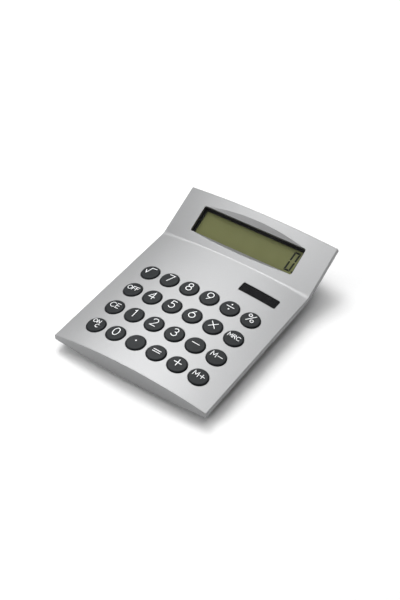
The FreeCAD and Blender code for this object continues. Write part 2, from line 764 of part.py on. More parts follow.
def make_bottom_cover():
    full = joined("cover_full", [make_cover_plate()] + make_battery_bay() + [make_cover_bosses()])
    node("bottom_cover", cut("cover", full, make_cover_tools()), TABLE)


def make_battery_door():
    corner = ("-door_width / 2", DOOR_FRONT, "base_clearance")
    plate = box("door_plate", corner, ("door_width", "door_length", "base_floor"))
    rails = box(
        "door_rails", ("-door_width / 2 - rail_reach", f"{DOOR_FRONT} + rail_setback", RAIL_LOW),
        ("door_width + 2 * rail_reach", "door_length - rail_setback", "rail_height"))
    grips = [
        box(
            "door_grip",
            ("-grip_width / 2", f"{BASE_REAR} - grip_inset - {i} * grip_pitch", "base_clearance - overrun"),
            ("grip_width", "grip_length", "overrun + grip_depth"))
        for i in range(GRIP_COUNT)
    ]
    door = cut("door", joined("door_body", [plate, rails]), gathered("door_grips", grips))
    node("battery_door", door, TABLE)


def is_on_table(edge):
    return isinstance(edge.Curve, Part.Circle) and edge.BoundBox.ZMax < 1e-6


def make_feet():
    pads = [rod("foot_pad", "foot_diameter", spot, "0", "base_clearance + foot_recess") for spot in FEET]
    feet = [rounded("foot", pad, "foot_round", is_on_table) for pad in pads]
    node("rubber_feet", gathered("feet", feet), TABLE)


# ---------------------------------------------------------------- keys
def is_top_rim(edge):
    """True for the closed edge round the top of a key's cap, and not for the flat one below it."""
    return len(edge.Vertexes) == 1 and edge.BoundBox.ZMax > value(f"{KEY_SKIRT} + key_skin")


OUTER_TAB = f"({(COLUMNS - 1) / 2} * pitch_across + tab_width / 2)"
KEY_SKIRT = f"(-{drop(CROWN_RADIUS, OUTER_TAB)} - top_wall - tab_gap - tab_thickness)"


def make_key(label, column, row):
    """A round cap under the crowned surface, with a plunger and two tabs that keep it in."""
    middle = key_middle(column, row)
    across = f"({abs(column - (COLUMNS - 1) / 2)} * pitch_across)"
    crown_level = f"(-{drop(CROWN_RADIUS, across)})"
    tab_top = f"(-{drop(CROWN_RADIUS, f'({across} + tab_width / 2)')} - top_wall - tab_gap)"

    stem = rod("key_stem", "key_diameter", middle, KEY_SKIRT, "key_rise + overrun")
    reach = "(key_diameter / 2 + overrun)"
    crown = lengthwise_rod(
        "key_crown", f"{CROWN_RADIUS} + key_rise", ("0", f"-{CROWN_RADIUS}"),
        f"{middle[1]} - {reach}", f"{middle[1]} + {reach}")
    soft_cap = rounded("key_round", common("key_cap", stem, crown), "key_round", is_top_rim)
    inside = rod(
        "key_inside", "key_diameter - 2 * key_wall", middle, f"{KEY_SKIRT} - overrun",
        f"{crown_level} + key_rise - key_skin")
    hollow = cut("key_hollow", soft_cap, inside)
    plunger = rod("key_plunger", "plunger_diameter", middle, f"-{DOME_TOP} + plunger_gap", crown_level)
    tabs = centred_box(
        "key_tabs", middle, "tab_width", "key_diameter + 2 * tab_reach",
        f"{tab_top} - tab_thickness", tab_top)
    clear = rod(
        "tab_clear", "key_diameter - key_wall", middle, f"{tab_top} - tab_thickness - overrun",
        f"{tab_top} + overrun")
    node(label, joined("key", [hollow, plunger, cut("key_ears", tabs, clear)]), CASE)


# ---------------------------------------------------------------- board, mat and what they carry
def make_board():
    front = "(board_front - keypad_front)"
    plate = box(
        "board_plate", (f"board_margin - {HALF}", front, f"-{BOARD_BOTTOM}"),
        ("case_width - 2 * board_margin", f"keypad_rear - board_rear - {front}", "board_thickness"))
    holes = [
        rod(
            "board_hole", "board_screw_diameter + screw_clearance", middle,
            f"-{BOARD_BOTTOM} - overrun", "-board_depth + overrun")
        for middle in POST_MIDDLES
    ]
    node("main_board", cut("board", plate, gathered("board_holes", holes)), CASE)


def make_mat():
    width = f"{COLUMNS - 1} * pitch_across + 2 * mat_overlap"
    length = f"{ROWS - 1} * pitch_along + 2 * mat_overlap"
    base = centred_box("mat_sheet", ("0", "0"), width, length, "-board_depth", f"-{MAT_TOP}")
    domes = []
    hollows = []
    for spot in KEY_PLACES:
        middle = key_middle(*spot)
        domes.append(cone(
            "dome", "dome_diameter", "dome_diameter - dome_taper", middle, f"-{MAT_TOP}", f"-{DOME_TOP}"))
        hollows.append(cone(
            "dome_hollow", "dome_diameter - 2 * dome_wall", "dome_diameter - dome_taper - 2 * dome_wall",
            middle, "-board_depth - boss_skirt", f"-{DOME_TOP} - dome_wall"))
    for middle in POST_MIDDLES:
        hollows.append(rod(
            "mat_hole", "post_diameter + 2 * post_gap", middle, "-board_depth - overrun",
            f"-{MAT_TOP} + overrun"))
    node("key_mat", cut("mat", joined("mat_body", [base] + domes), gathered("mat_hollows", hollows)), CASE)

    top = f"(-{DOME_TOP} - dome_wall)"
    pills = [
        rod("pill", "pill_diameter", key_middle(*spot), f"{top} - pill_thickness", top) for spot in KEY_PLACES
    ]
    node("contact_pills", gathered("pills", pills), CASE)


def screw(name, middle, seat, head, head_height, shaft, grip):
    """A pan-head screw that comes up from below; seat is the face its head bears on."""
    body = rod(f"{name}_shaft", shaft, middle, seat, f"{seat} + {grip}")
    cap = rod(f"{name}_head", head, middle, f"{seat} - {head_height}", seat)
    low = f"{seat} - {head_height} - overrun"
    high = f"{seat} - {head_height} / 2"
    across = centred_box(f"{name}_across", middle, f"{head} * cross_length", "cross_width", low, high)
    along = centred_box(f"{name}_along", middle, "cross_width", f"{head} * cross_length", low, high)
    return cut(name, joined(f"{name}_blank", [body, cap]), joined(f"{name}_cross", [across, along]))


def make_screws():
    board = [
        screw(
            "board_screw", middle, f"(-{BOARD_BOTTOM})", "board_screw_head", "board_screw_head_height",
            "board_screw_diameter", "(board_screw_grip + board_thickness)")
        for middle in POST_MIDDLES
    ]
    node("board_screws", gathered("board_screw_set", board), CASE)

    grip = "(cover_wall + cover_boss_height - screw_sink - screw_head_height + screw_grip)"
    sizes = (SINK_TOP, "screw_head", "screw_head_height", "screw_diameter", grip)
    keypad = [screw("case_screw", middle, *sizes) for middle in KEYPAD_SCREWS]
    panel = [screw("panel_screw", middle, *sizes) for middle in PANEL_SCREWS]
    node("case_screws", gathered("case_screw_set", keypad + [gathered("panel_screws", panel, PANEL)]), CASE)


def make_board_parts():
    radius = "((glob_diameter / 2)^2 + glob_height^2) / (2 * glob_height)"
    ball = doc.addObject("Part::Sphere", "glob_ball")
    bind(ball, Radius=radius)
    place(ball, ("0", "0", f"-{BOARD_BOTTOM} - glob_height + {radius}"))
    under = centred_box(
        "glob_side", ("0", "0"), "glob_diameter * 2", "glob_diameter * 2",
        f"-{BOARD_BOTTOM} - 2 * glob_height", f"-{BOARD_BOTTOM}")
    node("chip_glob", common("glob", ball, under), CASE)

    axis_level = "(-board_depth + capacitor_diameter / 2)"
    front = "(keypad_rear - board_rear - capacitor_inset)"
    can = lengthwise_rod(
        "capacitor_can", "capacitor_diameter / 2", ("capacitor_across", axis_level), front,
        f"{front} + capacitor_length")
    leg = rod(
        "capacitor_stem", "capacitor_leg", ("capacitor_across", f"{front} + capacitor_length / 2"),
        "-board_depth", axis_level)
    node("capacitor", joined("capacitor_body", [can, leg]), CASE)

    chips = [
        centred_box(
            "chip_resistor", spot, "resistor_length", "resistor_width",
            f"-{BOARD_BOTTOM} - resistor_height", f"-{BOARD_BOTTOM}")
        for spot in RESISTOR_PLACES
    ]
    node("chip_resistors", gathered("resistors", chips), CASE)


# ---------------------------------------------------------------- display
LIP_TOP = "(surround_depth + bezel_flange)"
LIP_BOTTOM = f"({LIP_TOP} + bezel_lip)"
GLASS_BACK = f"({LIP_BOTTOM} + glass_thickness)"
VIEW_WIDTH = "(window_width - 2 * view_inset)"
VIEW_LOW = "(window_low + view_low_inset)"
VIEW_HIGH = "(window_high - view_high_inset)"
VIEW_MIDDLE = ("0", f"(({VIEW_LOW} + {VIEW_HIGH}) / 2)")
GLASS_WIDTH = f"({VIEW_WIDTH} + 2 * glass_margin)"
GLASS_LOW = f"({VIEW_LOW} - glass_low_margin)"
GLASS_HIGH = f"({VIEW_HIGH} + glass_high_margin)"
GLASS_MIDDLE = ("0", f"(({GLASS_LOW} + {GLASS_HIGH}) / 2)")
GLASS_LENGTH = f"({GLASS_HIGH} - {GLASS_LOW})"
LINING_WIDTH = "(window_width - 2 * bezel_gap)"
LINING_LENGTH = f"({WINDOW_LENGTH} - 2 * bezel_gap)"


def make_bezel():
    lining = rounded_block(
        "bezel_rim", WINDOW_MIDDLE, LINING_WIDTH, LINING_LENGTH, f"-{LIP_TOP}",
        "-surround_depth + bezel_rise", "window_corner - bezel_gap")
    seat_width = f"({GLASS_WIDTH} + 2 * glass_gap)"
    seat_length = f"({GLASS_LENGTH} + 2 * glass_gap)"
    tray = centred_box(
        "bezel_tray", GLASS_MIDDLE, f"{seat_width} + 2 * bezel_tray_wall",
        f"{seat_length} + 2 * bezel_tray_wall", f"-{GLASS_BACK} + bezel_tray_step", "-surround_depth")
    pocket = rounded_block(
        "bezel_pocket", WINDOW_MIDDLE, f"{LINING_WIDTH} - 2 * bezel_lining",
        f"{LINING_LENGTH} - 2 * bezel_lining", f"-{LIP_TOP}", "overrun", "window_corner - bezel_lining")
    view = centred_box(
        "bezel_view", VIEW_MIDDLE, VIEW_WIDTH, f"{VIEW_HIGH} - {VIEW_LOW}", f"-{DEPTH}", "overrun")
    seat = centred_box("bezel_seat", GLASS_MIDDLE, seat_width, seat_length, f"-{DEPTH}", f"-{LIP_BOTTOM}")
    solid = joined("bezel_solid", [lining, tray])
    node("display_bezel", cut("bezel", solid, joined("bezel_cuts", [pocket, view, seat])), ON_PANEL)


def make_display():
    pane = rounded_block(
        "pane", WINDOW_MIDDLE, f"{LINING_WIDTH} - 2 * bezel_lining - 2 * pane_gap",
        f"{LINING_LENGTH} - 2 * bezel_lining - 2 * pane_gap", f"-{LIP_TOP}",
        f"-{LIP_TOP} + pane_thickness", "window_corner - bezel_lining - pane_gap")
    node("display_window", pane, ON_PANEL)
    glass = centred_box(
        "glass_plate", GLASS_MIDDLE, GLASS_WIDTH, GLASS_LENGTH, f"-{GLASS_BACK}", f"-{LIP_BOTTOM}")
    node("lcd_glass", gathered("glass", [glass]), ON_PANEL)
    film = centred_box(
        "film", GLASS_MIDDLE, f"{GLASS_WIDTH} - 2 * reflector_inset",
        f"{GLASS_LENGTH} - 2 * reflector_inset - 2 * ribbon_grip",
        f"-{GLASS_BACK} - reflector_thickness", f"-{GLASS_BACK}")
    node("lcd_reflector", gathered("reflector", [film]), ON_PANEL)


def make_ribbon():
    """Flat cable from the back of the glass, down past the crease, to the board's rear edge."""
    past_tray = f"{GLASS_LOW} - glass_gap - bezel_tray_wall - ribbon_stand"
    back = PANEL.multVec(Vector(0, value(f"{GLASS_LOW} + ribbon_grip"), -value(GLASS_BACK)))
    leave = PANEL.multVec(Vector(0, value(past_tray), -value(GLASS_BACK)))
    board_edge = value("keypad_rear - board_rear")
    level = value("ribbon_thickness - board_depth")
    landing = (board_edge - value("ribbon_grip"), level)
    edge = (board_edge - value("ribbon_stand"), level)
    route = [(back.y, back.z), (leave.y, leave.z), edge, landing]
    node("lcd_ribbon", bent_strip("ribbon", route, "ribbon_thickness", "ribbon_width"), CASE)


# ---------------------------------------------------------------- solar cell
SOLAR_LEAN = f"asin({SOLAR_MIDDLE[0]} / {CROWN_RADIUS})"
CELL_DEPTH = f"(top_wall + cell_width^2 / (8 * {CROWN_RADIUS}) + cell_gap)"


def make_solar():
    block = rounded_block(
        "solar_plug", SOLAR_MIDDLE, "solar_width - 2 * solar_pane_gap", "solar_length - 2 * solar_pane_gap",
        f"-{DEPTH}", "overrun", "solar_corner - solar_pane_gap")
    ends = (f"{SOLAR_MIDDLE[1]} - solar_length", f"{SOLAR_MIDDLE[1]} + solar_length")
    radius = f"({CROWN_RADIUS} - solar_pane_sink)"
    axis = ("0", f"-{CROWN_RADIUS}")
    outer = lengthwise_rod("pane_outside", radius, axis, *ends)
    inner = lengthwise_rod("pane_inside", f"{radius} - solar_pane_thickness", axis, *ends)
    node("solar_window", common("solar_pane", block, cut("pane_shell", outer, inner)), CASE)

    # The cell lies square to the crown under the middle of its window.
    crown = value(CROWN_RADIUS)
    turn = Rotation(Vector(0, 1, 0), value(SOLAR_LEAN))
    centre = Vector(0, value(SOLAR_MIDDLE[1]), -crown)
    anchor = centre + turn.multVec(Vector(0, 0, crown - value(CELL_DEPTH)))
    slab = centred_box("cell_slab", ("0", "0"), "cell_width", "cell_length", "-cell_thickness", "0")
    node("solar_cell", gathered("cell", [slab]), CASE.multiply(Placement(anchor, turn)))

    # A wire's flat end touches the leaning cell at one side of its rim.
    spread = value("wire_spacing / 2")
    drop_below = Vector(0, 0, value(f"wire_gap + wire_diameter / 2 * tan({SOLAR_LEAN})"))
    for label, across in (("solar_wire_red", -spread), ("solar_wire_black", spread)):
        back = Vector(across, 0, -value("cell_thickness"))
        make_wire(label, anchor + turn.multVec(back) - drop_below)


def quarter_turn(start, middle, finish):
    """A bend of a quarter circle; middle is its square corner."""
    centre = start + finish - middle
    radius = (start - centre).Length
    crown = centre + (middle - centre).normalize() * radius
    return Part.Arc(start, crown, finish).toShape()


def make_wire(label, start):
    """A short lead from the back of the solar cell, down and forward to the board, with two bends."""
    board = -value("board_depth")
    halfway = (start.z + board) / 2
    down = Vector(0, 0, -value("wire_bend"))
    ahead = Vector(0, -value("wire_bend"), 0)
    upper = Vector(start.x, start.y, halfway)
    lower = upper - Vector(0, value("wire_forward"), 0)
    finish = Vector(lower.x, lower.y, board)
    path = Part.Wire([
        Part.LineSegment(start, upper - down).toShape(),
        quarter_turn(upper - down, upper, upper + ahead),
        Part.LineSegment(upper + ahead, lower - ahead).toShape(),
        quarter_turn(lower - ahead, lower, lower + down),
        Part.LineSegment(lower + down, finish).toShape(),
    ])
    ring = Part.Wire(Part.makeCircle(value("wire_diameter") / 2, start, Vector(0, 0, 1)))
    thing = doc.addObject("Part::Feature", label)
    thing.Shape = path.makePipeShell([ring], True, True)
    node(label, thing, CASE)


# ---------------------------------------------------------------- battery
BATTERY_LOW = f"({FLOOR_TOP} + battery_float)"
BATTERY_TOP = f"({BATTERY_LOW} + battery_height)"


def make_battery():
    can = rod("battery_can", "battery_diameter", BAY_MIDDLE, BATTERY_LOW, f"{BATTERY_TOP} - battery_step")
    lid = rod(
        "battery_lid", "battery_diameter - 2 * battery_lid_inset", BAY_MIDDLE, BATTERY_LOW, BATTERY_TOP)
    node("button_cell", joined("battery", [can, lid]), TABLE)


def in_case(along, height):
    """A point of the table frame, over the middle of the case, in the keypad frame."""
    return CASE.inverse().multVec(Vector(0, along, height))


def make_contacts():
    """A leaf on the battery's lid and a blade at its side, both from the board's underside."""
    middle = value(BAY_MIDDLE[1])
    thickness = value("contact_thickness")
    under = -value(BOARD_BOTTOM)
    place_along = in_case(middle, 0).y
    touch = in_case(middle - value("leaf_touch"), value(f"{BATTERY_TOP} + contact_gap"))
    route = [
        (place_along - value("leaf_root"), under - thickness),
        (place_along - value("leaf_bend"), under - thickness),
        (touch.y, touch.z),
        (touch.y + value("leaf_tail"), touch.z + value("leaf_tail_rise")),
    ]
    node("battery_contact_negative", bent_strip(
        "negative_leaf", route, "contact_thickness", "contact_width"), CASE)

    side = value("battery_diameter / 2 + contact_gap")
    low = in_case(middle, value(f"{DECK_TOP} + blade_lift"))
    width = value("contact_width")
    front = low.y - width / 2
    upright_part = Part.makeBox(thickness, width, under - low.z, Vector(side, front, low.z))
    foot = Part.makeBox(value("blade_foot"), width, thickness, Vector(side, front, under - thickness))
    blade = doc.addObject("Part::Feature", "positive_blade")
    blade.Shape = upright_part.fuse(foot).removeSplitter()
    node("battery_contact_positive", blade, CASE)


# ---------------------------------------------------------------- build, test and write
make_top_shell()
make_bottom_cover()
make_battery_door()
make_feet()
for key_row, names in enumerate(KEY_NAMES):
    for key_column, key_label in enumerate(names):
        make_key(key_label, key_column, key_row)
make_board()
make_mat()
make_screws()
make_board_parts()
make_bezel()
make_display()
make_ribbon()
make_solar()
make_battery()
make_contacts()
doc.recompute()

for item in doc.Objects:
    if {"Invalid", "Error"} & set(item.State):
        raise RuntimeError(f"{item.Label} failed: {item.State}")
os.makedirs("parts", exist_ok=True)
for item in nodes:
    if item.Shape.isNull() or not item.Shape.isValid():
        raise RuntimeError(f"{item.Label} has no valid shape")
    item.Shape.exportStep(f"parts/{item.Label}.step")
print(len(nodes), "nodes written")
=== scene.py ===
import json
import math

import bmesh
import bpy
from mathutils import Matrix, Vector
from mathutils.bvhtree import BVHTree

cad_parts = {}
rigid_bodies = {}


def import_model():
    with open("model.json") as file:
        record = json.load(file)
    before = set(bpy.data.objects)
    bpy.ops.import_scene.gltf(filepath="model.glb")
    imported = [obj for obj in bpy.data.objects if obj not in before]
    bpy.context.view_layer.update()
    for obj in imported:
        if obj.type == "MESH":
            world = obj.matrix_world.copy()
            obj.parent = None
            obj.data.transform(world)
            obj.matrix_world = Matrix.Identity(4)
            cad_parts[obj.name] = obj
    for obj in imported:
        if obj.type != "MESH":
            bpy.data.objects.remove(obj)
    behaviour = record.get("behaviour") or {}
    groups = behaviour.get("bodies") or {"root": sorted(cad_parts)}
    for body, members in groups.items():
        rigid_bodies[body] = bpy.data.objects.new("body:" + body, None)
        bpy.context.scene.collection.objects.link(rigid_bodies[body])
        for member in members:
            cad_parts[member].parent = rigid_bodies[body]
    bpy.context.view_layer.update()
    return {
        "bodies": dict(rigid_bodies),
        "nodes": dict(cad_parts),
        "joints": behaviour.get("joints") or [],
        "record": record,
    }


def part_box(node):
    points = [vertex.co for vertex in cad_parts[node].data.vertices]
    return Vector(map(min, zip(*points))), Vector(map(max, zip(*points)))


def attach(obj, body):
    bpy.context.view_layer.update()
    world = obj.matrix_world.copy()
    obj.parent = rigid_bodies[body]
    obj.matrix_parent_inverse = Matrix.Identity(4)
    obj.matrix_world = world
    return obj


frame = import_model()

# A desk calculator's looks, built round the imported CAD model. Everything here is in metres.
MM = 0.001

# ---------------------------------------------------------------- camera
# Where it stands round its target, in degrees, as direction() measures them.
CAMERA_AZIMUTH = 34.982
CAMERA_ELEVATION = 42.825
CAMERA_ROLL = 0.011
CAMERA_DISTANCE = 672.7 * MM
CAMERA_TARGET = Vector((3.436, -5.084, 17.370)) * MM
CAMERA_LENS = 47.35
CAMERA_SENSOR = 24.0

# ---------------------------------------------------------------- light and floor
FLOOR_SIZE = 6.0
WORLD_COLOUR = (1.0, 1.0, 1.0)
WORLD_STRENGTH = 0.03
SOFTBOX_DISTANCE = 1.2
# Square softboxes round the object: (name, azimuth, elevation, size in metres, watts).
SOFTBOXES = [
    ("key_light", 235, 60, 0.6, 6.3),
    ("fill_light", 225, 58, 0.9, 4.6),
    ("right_light", 135, 58, 0.9, 2.2),
    ("top_light", 0, 89.9, 0.9, 6.2),
    ("front_light", 315, 30, 0.9, 7.4),
]

# ---------------------------------------------------------------- the frame's own directions
# A key's joint presses it down, so the keypad's upward direction is the other way.
KEYPAD_UP = -Vector(frame["joints"][0]["axis"]).normalized()
ACROSS = Vector((1, 0, 0))


# ---------------------------------------------------------------- node-tree helpers
# Most of a noise's values lie between these two.
NOISE_LOW = 0.3
NOISE_HIGH = 0.7

# A Mix node has sockets for numbers, vectors and colours. These are its factor and its colours.
MIX_FACTOR = 0
MIX_FIRST = 6
MIX_SECOND = 7
MIX_RESULT = 2


def new_material(name):
    """A new material, its node tree and its Principled shader."""
    material = bpy.data.materials.new(name)
    material.use_nodes = True
    tree = material.node_tree
    shader = next(n for n in tree.nodes if n.type == "BSDF_PRINCIPLED")
    return material, tree, shader


def coordinates(tree, scale=(1, 1, 1), rotation=(0, 0, 0)):
    """Object coordinates, which are the shared frame in metres, stretched and turned."""
    source = tree.nodes.new("ShaderNodeTexCoord")
    mapping = tree.nodes.new("ShaderNodeMapping")
    mapping.inputs["Scale"].default_value = scale
    mapping.inputs["Rotation"].default_value = rotation
    tree.links.new(source.outputs["Object"], mapping.inputs["Vector"])
    return mapping.outputs["Vector"]


def noise(tree, vector, size, detail=3.0, roughness=0.5):
    """Noise whose blotches are about that size, in metres."""
    thing = tree.nodes.new("ShaderNodeTexNoise")
    thing.inputs["Scale"].default_value = 1 / size
    thing.inputs["Detail"].default_value = detail
    thing.inputs["Roughness"].default_value = roughness
    tree.links.new(vector, thing.inputs["Vector"])
    return thing.outputs["Fac"]


def ramp(tree, factor, *stops):
    """Colours or greys by place, from a factor."""
    thing = tree.nodes.new("ShaderNodeValToRGB")
    elements = thing.color_ramp.elements
    while len(elements) < len(stops):
        elements.new(0.5)
    for element, (place, colour) in zip(elements, stops):
        element.position = place
        element.color = (colour, colour, colour, 1) if isinstance(colour, float) else (*colour, 1)
    tree.links.new(factor, thing.inputs["Fac"])
    return thing.outputs["Color"]


def varied(tree, factor, low, high):
    """From one colour or grey to another with a noise."""
    return ramp(tree, factor, (NOISE_LOW, low), (NOISE_HIGH, high))


def blend(tree, factor, first, second):
    """Two colours mixed by a factor."""
    thing = tree.nodes.new("ShaderNodeMix")
    thing.data_type = "RGBA"
    sockets = thing.inputs[MIX_FACTOR], thing.inputs[MIX_FIRST], thing.inputs[MIX_SECOND]
    for socket, value in zip(sockets, (factor, first, second)):
        if isinstance(value, bpy.types.NodeSocket):
            tree.links.new(value, socket)
        else:
            socket.default_value = (*value, 1)
    return thing.outputs[MIX_RESULT]


def bump(tree, shader, height, strength, distance):
    """Raise the shader's surface by a height; the distance is in metres."""
    thing = tree.nodes.new("ShaderNodeBump")
    thing.inputs["Strength"].default_value = strength
    thing.inputs["Distance"].default_value = distance
    tree.links.new(height, thing.inputs["Height"])
    tree.links.new(thing.outputs["Normal"], shader.inputs["Normal"])


def shades(colour, spread):
    """A darker and a lighter shade of a colour."""
    dark = tuple(c * (1 - spread) for c in colour)
    light = tuple(min(1.0, c * (1 + spread)) for c in colour)
    return dark, light


# ---------------------------------------------------------------- materials
MOULDED_SPREAD = 0.08
MOULDED_BLOTCH = 25           # size of its blotches of colour, in grains
MOULDED_GLOSS_SPREAD = 0.06   # of its roughness


def moulded(name, colour, roughness, grain, depth, gloss=0.5):
    """Moulded plastic or rubber: a fine grain in its surface and gloss, and blotches of colour."""
    material, tree, shader = new_material(name)
    vector = coordinates(tree)
    fine = noise(tree, vector, grain)
    broad = noise(tree, vector, grain * MOULDED_BLOTCH)
    dark, light = shades(colour, MOULDED_SPREAD)
    tree.links.new(varied(tree, broad, dark, light), shader.inputs["Base Color"])
    low, high = roughness - MOULDED_GLOSS_SPREAD, roughness + MOULDED_GLOSS_SPREAD
    tree.links.new(varied(tree, fine, low, high), shader.inputs["Roughness"])
    shader.inputs["Specular IOR Level"].default_value = gloss
    bump(tree, shader, fine, strength=0.35, distance=depth)
    return material


def metallic_paint(name, colour):
    """Satin silver paint: fine flakes that catch the light, and a faint cloudiness."""
    material, tree, shader = new_material(name)
    vector = coordinates(tree)
    flake = noise(tree, vector, 0.22 * MM, detail=2.0, roughness=0.6)
    cloud = noise(tree, vector, 18 * MM)
    dark, light = shades(colour, spread=0.075)
    base = ramp(tree, flake, (0.32, dark), (0.68, light))
    shaded = blend(tree, varied(tree, cloud, 0.0, 0.10), base, shades(colour, spread=0.06)[0])
    tree.links.new(shaded, shader.inputs["Base Color"])
    tree.links.new(varied(tree, flake, 0.44, 0.56), shader.inputs["Roughness"])
    shader.inputs["Metallic"].default_value = 0.85
    bump(tree, shader, flake, strength=0.22, distance=0.02 * MM)
    return material


def key_rubber(name):
    """Charcoal soft-touch caps: a fine spark-eroded grain with a soft sheen."""
    material, tree, shader = new_material(name)
    vector = coordinates(tree)
    fine = noise(tree, vector, 0.16 * MM, roughness=0.6)
    broad = noise(tree, vector, 5 * MM)
    colour = varied(tree, broad, (0.0125, 0.0145, 0.016), (0.0165, 0.0190, 0.021))
    tree.links.new(colour, shader.inputs["Base Color"])
    tree.links.new(varied(tree, fine, 0.40, 0.54), shader.inputs["Roughness"])
    shader.inputs["Specular IOR Level"].default_value = 0.16
    bump(tree, shader, fine, strength=0.3, distance=0.02 * MM)
    return material


def printed_ink(name):
    """White printing ink, a little uneven."""
    material, tree, shader = new_material(name)
    vector = coordinates(tree)
    fine = noise(tree, vector, 0.12 * MM)
    colour = varied(tree, fine, (0.80, 0.82, 0.83), (0.92, 0.93, 0.94))
    tree.links.new(colour, shader.inputs["Base Color"])
    tree.links.new(varied(tree, fine, 0.45, 0.6), shader.inputs["Roughness"])
    bump(tree, shader, fine, strength=0.2, distance=0.01 * MM)
    return material


def lcd_glass(name):
    """Olive reflective display, with the grain of its polariser and a faint cloudiness."""
    material, tree, shader = new_material(name)
    vector = coordinates(tree, rotation=(0, 0, math.radians(38)), scale=(1, 5, 1))
    brushed = noise(tree, vector, 0.5 * MM, roughness=0.6)
    cloud = noise(tree, coordinates(tree), 9 * MM)
    base = ramp(tree, brushed, (0.25, (0.116, 0.122, 0.045)), (0.75, (0.144, 0.151, 0.058)))
    clouded = blend(tree, varied(tree, cloud, 0.0, 0.25), base, (0.152, 0.160, 0.068))
    tree.links.new(clouded, shader.inputs["Base Color"])
    tree.links.new(varied(tree, brushed, 0.30, 0.38), shader.inputs["Roughness"])
    shader.inputs["Specular IOR Level"].default_value = 0.1
    bump(tree, shader, brushed, strength=0.08, distance=0.01 * MM)
    return material


def lcd_segment(name):
    """The near black of a lit segment."""
    material, tree, shader = new_material(name)
    fine = noise(tree, coordinates(tree), 0.3 * MM)
    colour = varied(tree, fine, (0.004, 0.005, 0.004), (0.010, 0.011, 0.009))
    tree.links.new(colour, shader.inputs["Base Color"])
    tree.links.new(varied(tree, fine, 0.35, 0.45), shader.inputs["Roughness"])
    shader.inputs["Specular IOR Level"].default_value = 0.05
    return material


def clear_acrylic(name, colour, alpha_low, alpha_high, roughness):
    """A thin pane: nearly clear face on, and a little less so at a glancing angle."""
    material, tree, shader = new_material(name)
    vector = coordinates(tree)
    haze = noise(tree, vector, 2.5 * MM)
    dark, light = shades(colour, spread=0.05)
    tree.links.new(varied(tree, haze, dark, light), shader.inputs["Base Color"])
    facing = tree.nodes.new("ShaderNodeLayerWeight")
    facing.inputs["Blend"].default_value = 0.35
    alpha = ramp(tree, facing.outputs["Facing"], (0.1, alpha_low), (1.0, alpha_high))
    tree.links.new(alpha, shader.inputs["Alpha"])
    tree.links.new(varied(tree, haze, roughness * 0.8, roughness * 1.2), shader.inputs["Roughness"])
    shader.inputs["Specular IOR Level"].default_value = 0.12
    bump(tree, shader, haze, strength=0.03, distance=0.01 * MM)
    return material


def tinted_acrylic(name):
    """The dark pane over the solar cell."""
    material, tree, shader = new_material(name)
    haze = noise(tree, coordinates(tree), 2.0 * MM)
    colour = varied(tree, haze, (0.004, 0.004, 0.005), (0.007, 0.007, 0.008))
    tree.links.new(colour, shader.inputs["Base Color"])
    tree.links.new(varied(tree, haze, 0.10, 0.14), shader.inputs["Roughness"])
    shader.inputs["Alpha"].default_value = 0.72
    shader.inputs["Specular IOR Level"].default_value = 0.08
    bump(tree, shader, haze, strength=0.03, distance=0.01 * MM)
    return material


def brushed_metal(name, colour, roughness, direction):
    """Plated or drawn metal: fine lines one way and a few dull patches."""
    material, tree, shader = new_material(name)
    vector = coordinates(tree, scale=direction)
    lines = noise(tree, vector, 0.6 * MM, detail=4.0, roughness=0.65)
    patches = noise(tree, coordinates(tree), 4 * MM)
    dark, light = shades(colour, spread=0.12)
    tree.links.new(varied(tree, lines, dark, light), shader.inputs["Base Color"])
    dull = varied(tree, patches, roughness - 0.08, roughness + 0.10)
    tree.links.new(dull, shader.inputs["Roughness"])
    shader.inputs["Metallic"].default_value = 1.0
    bump(tree, shader, lines, strength=0.15, distance=0.01 * MM)
    return material


def circuit_board(name):
    """Green solder mask over copper traces that show as paler lines."""
    material, tree, shader = new_material(name)
    vector = coordinates(tree)
    traces = tree.nodes.new("ShaderNodeTexBrick")
    traces.inputs["Scale"].default_value = 1.0
    traces.inputs["Brick Width"].default_value = 7 * MM
    traces.inputs["Row Height"].default_value = 2.4 * MM
    traces.inputs["Mortar Size"].default_value = 0.22 * MM
    traces.inputs["Color1"].default_value = (0.012, 0.085, 0.028, 1)
    traces.inputs["Color2"].default_value = (0.015, 0.105, 0.034, 1)
    traces.inputs["Mortar"].default_value = (0.045, 0.21, 0.07, 1)
    tree.links.new(vector, traces.inputs["Vector"])
    tree.links.new(traces.outputs["Color"], shader.inputs["Base Color"])
    fine = noise(tree, vector, 0.4 * MM)
    tree.links.new(varied(tree, fine, 0.28, 0.40), shader.inputs["Roughness"])
    bump(tree, shader, traces.outputs["Fac"], strength=0.3, distance=0.03 * MM)
    return material


def flat_cable(name):
    """Amber film with dark conductors along it."""
    material, tree, shader = new_material(name)
    stripes = tree.nodes.new("ShaderNodeTexWave")
    stripes.inputs["Scale"].default_value = 1 / (4 * MM)
    stripes.inputs["Distortion"].default_value = 0.0
    tree.links.new(coordinates(tree), stripes.inputs["Vector"])
    amber, dark = (0.50, 0.27, 0.06), (0.16, 0.09, 0.04)
    colour = ramp(tree, stripes.outputs["Fac"], (0.35, amber), (0.5, dark))
    tree.links.new(colour, shader.inputs["Base Color"])
    fine = noise(tree, coordinates(tree), 1 * MM)
    tree.links.new(varied(tree, fine, 0.28, 0.42), shader.inputs["Roughness"])
    bump(tree, shader, stripes.outputs["Fac"], strength=0.2, distance=0.02 * MM)
    return material


